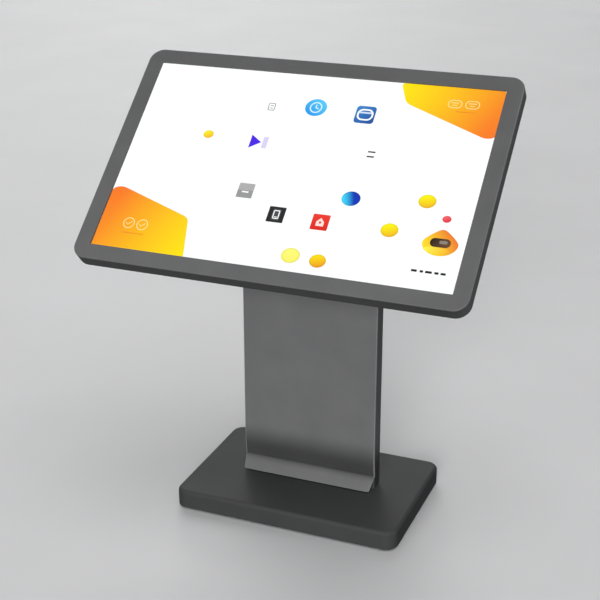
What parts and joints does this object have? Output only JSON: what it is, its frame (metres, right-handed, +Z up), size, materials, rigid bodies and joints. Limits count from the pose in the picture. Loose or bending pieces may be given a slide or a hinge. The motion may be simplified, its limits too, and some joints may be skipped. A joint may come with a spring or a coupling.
{
  "type": "touchscreen kiosk",
  "caption": "Floor-standing kiosk: a wide tilted touch display in a thin frame on a flat sheet-metal column with a weighted base, a service door and levelling feet.",
  "frame": {"origin": "on the floor, under the middle of the kiosk's bounding box", "axes": "+Z up; the screen faces -Y and leans back; +X is to the right for a person who looks at the screen"},
  "size_m": [1.026, 0.557, 1.1916],
  "materials": {
    "head_paint": "fine-textured satin powder coat, mid grey",
    "column_paint": "fine-textured satin powder coat, mid grey",
    "base_paint": "fine-textured satin powder coat, dark grey",
    "dark_paint": "satin black paint",
    "touch_glass": "clear toughened glass, polished",
    "screen_face": "lit display face",
    "black_plastic": "moulded matte black",
    "switch_plastic": "moulded gloss black",
    "zinc_steel": "zinc plated",
    "bare_steel": "brushed",
    "lock_metal": "polished",
    "button_metal": "brushed",
    "anodised_case": "black anodised, ribbed",
    "aluminium_case": "perforated case",
    "circuit_board": "green solder mask",
    "foot_rubber": "moulded rubber pad on a threaded stud",
    "cable_sheath": "matte black sheath"
  },
  "bodies": {
    "stand": {"front_bezel": "head_paint", "rear_cover": "head_paint", "touch_sensor_frame": "black_plastic", "touch_glass": "touch_glass", "lcd_panel": "screen_face", "backlight_tray": "zinc_steel", "panel_rail_left": "zinc_steel", "panel_rail_right": "zinc_steel", "driver_board": "circuit_board", "touch_controller": "circuit_board", "speaker_left": "black_plastic", "speaker_right": "black_plastic", "io_panel": "bare_steel", "head_bracket": "dark_paint", "bracket_bolt_1": "zinc_steel", "bracket_bolt_2": "zinc_steel", "bracket_bolt_3": "zinc_steel", "bracket_bolt_4": "zinc_steel", "column_front": "column_paint", "column_back": "column_paint", "column_post_left": "dark_paint", "column_post_right": "dark_paint", "cross_brace_lower": "dark_paint", "cross_brace_upper": "dark_paint", "equipment_plate": "zinc_steel", "mini_computer": "anodised_case", "power_supply": "aluminium_case", "hinge_leaf_frame_lower": "zinc_steel", "hinge_leaf_frame_upper": "zinc_steel", "hinge_pin_lower": "bare_steel", "hinge_pin_upper": "bare_steel", "lock_strike": "zinc_steel", "fan_frame": "black_plastic", "base_cover": "base_paint", "base_plate": "bare_steel", "column_foot_flange": "bare_steel", "ballast_front": "bare_steel", "ballast_rear": "bare_steel", "foot_nut_1": "zinc_steel", "foot_nut_2": "zinc_steel", "foot_nut_3": "zinc_steel", "foot_nut_4": "zinc_steel", "entry_plate": "column_paint", "power_inlet": "black_plastic", "switch_housing": "black_plastic", "mains_cable": "cable_sheath", "display_cable": "cable_sheath"},
    "door": {"service_door": "column_paint", "hinge_leaf_door_lower": "zinc_steel", "hinge_leaf_door_upper": "zinc_steel", "lock_barrel": "lock_metal"},
    "lock": {"lock_plug": "lock_metal", "lock_cam": "zinc_steel"},
    "fan": {"fan_rotor": "black_plastic"},
    "button": {"power_button": "button_metal"},
    "rocker": {"power_rocker": "switch_plastic"},
    "foot_1": {"levelling_foot_1": "foot_rubber"},
    "foot_2": {"levelling_foot_2": "foot_rubber"},
    "foot_3": {"levelling_foot_3": "foot_rubber"},
    "foot_4": {"levelling_foot_4": "foot_rubber"}
  },
  "joints": [
    {"name": "door_hinge", "type": "hinge", "parent": "stand", "child": "door", "pos_m": [-0.149, 0.11, 0.47], "axis": [0, 0, 1], "range_deg": [0, 110]},
    {"name": "lock_turn", "type": "hinge", "parent": "door", "child": "lock", "pos_m": [0.125, 0.1054, 0.47], "axis": [0, -1, 0], "range_deg": [0, 90]},
    {"name": "fan_spin", "type": "hinge", "parent": "stand", "child": "fan", "pos_m": [0, 0.0956, 0.82], "axis": [0, 1, 0], "continuous": true},
    {"name": "button_press", "type": "slide", "parent": "stand", "child": "button", "axis": [0, -0.6639, 0.7478], "range_m": [0, 0.002], "stiffness_N_per_m": 400, "springref_m": -0.003},
    {"name": "rocker_tip", "type": "hinge", "parent": "stand", "child": "rocker", "pos_m": [0.018, 0.1067, 0.096], "axis": [1, 0, 0], "range_deg": [0, 16]},
    {"name": "foot_1_turn", "type": "hinge", "parent": "stand", "child": "foot_1", "pos_m": [-0.27, -0.096, 0.01], "axis": [0, 0, 1], "continuous": true},
    {"name": "foot_2_turn", "type": "hinge", "parent": "stand", "child": "foot_2", "pos_m": [0.27, -0.096, 0.01], "axis": [0, 0, 1], "continuous": true},
    {"name": "foot_3_turn", "type": "hinge", "parent": "stand", "child": "foot_3", "pos_m": [-0.27, 0.234, 0.01], "axis": [0, 0, 1], "continuous": true},
    {"name": "foot_4_turn", "type": "hinge", "parent": "stand", "child": "foot_4", "pos_m": [0.27, 0.234, 0.01], "axis": [0, 0, 1], "continuous": true}
  ]
}
